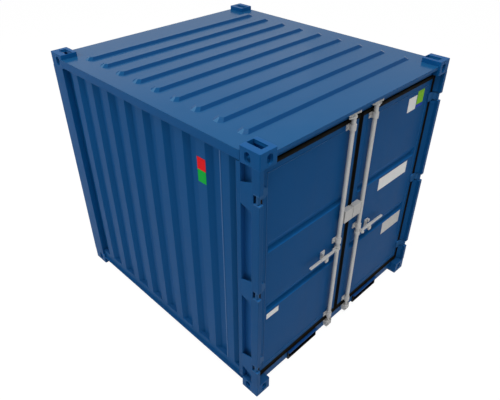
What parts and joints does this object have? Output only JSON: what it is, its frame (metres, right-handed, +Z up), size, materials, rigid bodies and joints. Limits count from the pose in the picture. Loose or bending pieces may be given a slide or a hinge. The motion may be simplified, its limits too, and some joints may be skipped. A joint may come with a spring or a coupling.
{
  "type": "small steel storage container",
  "caption": "Short corrugated steel storage box with corner castings, ribbed roof, fork pockets and double end doors that lock with turning bars",
  "frame": {"origin": "on the ground under the middle of the box", "axes": "+Z up, doors face -Y, length along Y, width along X"},
  "size_m": [2.2, 2.438, 2.26],
  "materials": {
    "painted_steel": "semi-gloss paint",
    "galvanised_steel": "dull zinc coat",
    "seal_rubber": "matt black",
    "floor_wood": "sealed boards"
  },
  "bodies": {
    "container": {"top_casting_front_left": "painted_steel", "top_casting_front_right": "painted_steel", "top_casting_rear_left": "painted_steel", "top_casting_rear_right": "painted_steel", "bottom_casting_front_left": "painted_steel", "bottom_casting_front_right": "painted_steel", "bottom_casting_rear_left": "painted_steel", "bottom_casting_rear_right": "painted_steel", "front_post_left": "painted_steel", "front_post_right": "painted_steel", "rear_post_left": "painted_steel", "rear_post_right": "painted_steel", "hinge_gussets": "painted_steel", "hinge_lugs": "painted_steel", "top_rail_left": "painted_steel", "top_rail_right": "painted_steel", "rear_top_rail": "painted_steel", "bottom_rail_left": "painted_steel", "bottom_rail_right": "painted_steel", "rear_bottom_rail": "painted_steel", "door_header": "painted_steel", "door_sill": "painted_steel", "side_wall_left": "painted_steel", "side_wall_right": "painted_steel", "rear_wall": "painted_steel", "roof_sheet": "painted_steel", "floor_cross_members": "painted_steel", "fork_pocket_left": "painted_steel", "fork_pocket_right": "painted_steel", "floor_boards": "floor_wood", "top_keepers": "galvanised_steel", "bottom_keepers": "galvanised_steel"},
    "left_door": {"left_leaf_frame": "painted_steel", "left_leaf_panel": "painted_steel", "left_leaf_seal": "seal_rubber", "left_leaf_hinges": "painted_steel", "left_bar_guides": "galvanised_steel", "left_handle_catch": "galvanised_steel", "left_lock_box": "galvanised_steel"},
    "left_bar": {"left_lock_bar": "galvanised_steel", "left_bar_cam": "galvanised_steel"},
    "left_handle": {"left_handle": "galvanised_steel"},
    "right_door": {"right_leaf_frame": "painted_steel", "right_leaf_panel": "painted_steel", "right_leaf_seal": "seal_rubber", "right_leaf_hinges": "painted_steel", "right_bar_guides": "galvanised_steel", "right_handle_catch": "galvanised_steel", "right_lock_box": "galvanised_steel"},
    "right_bar": {"right_lock_bar": "galvanised_steel", "right_bar_cam": "galvanised_steel"},
    "right_handle": {"right_handle": "galvanised_steel"}
  },
  "joints": [
    {"name": "left_door_swing", "type": "hinge", "parent": "container", "child": "left_door", "pos_m": [-1.083, -1.192, 1.13], "axis": [0, 0, -1], "range_deg": [0, 265]},
    {"name": "left_bar_turn", "type": "hinge", "parent": "left_door", "child": "left_bar", "pos_m": [-0.137, -1.18, 1.1], "axis": [0, 0, -1], "range_deg": [-95, 0]},
    {"name": "left_handle_lift", "type": "hinge", "parent": "left_bar", "child": "left_handle", "pos_m": [-0.179, -1.188, 0.986], "axis": [0, 1, 0], "range_deg": [0, 30]},
    {"name": "right_door_swing", "type": "hinge", "parent": "container", "child": "right_door", "pos_m": [1.083, -1.192, 1.13], "axis": [0, 0, 1], "range_deg": [0, 265]},
    {"name": "right_bar_turn", "type": "hinge", "parent": "right_door", "child": "right_bar", "pos_m": [0.137, -1.18, 1.1], "axis": [0, 0, 1], "range_deg": [-95, 0]},
    {"name": "right_handle_lift", "type": "hinge", "parent": "right_bar", "child": "right_handle", "pos_m": [0.179, -1.188, 0.986], "axis": [0, -1, 0], "range_deg": [0, 30]}
  ]
}
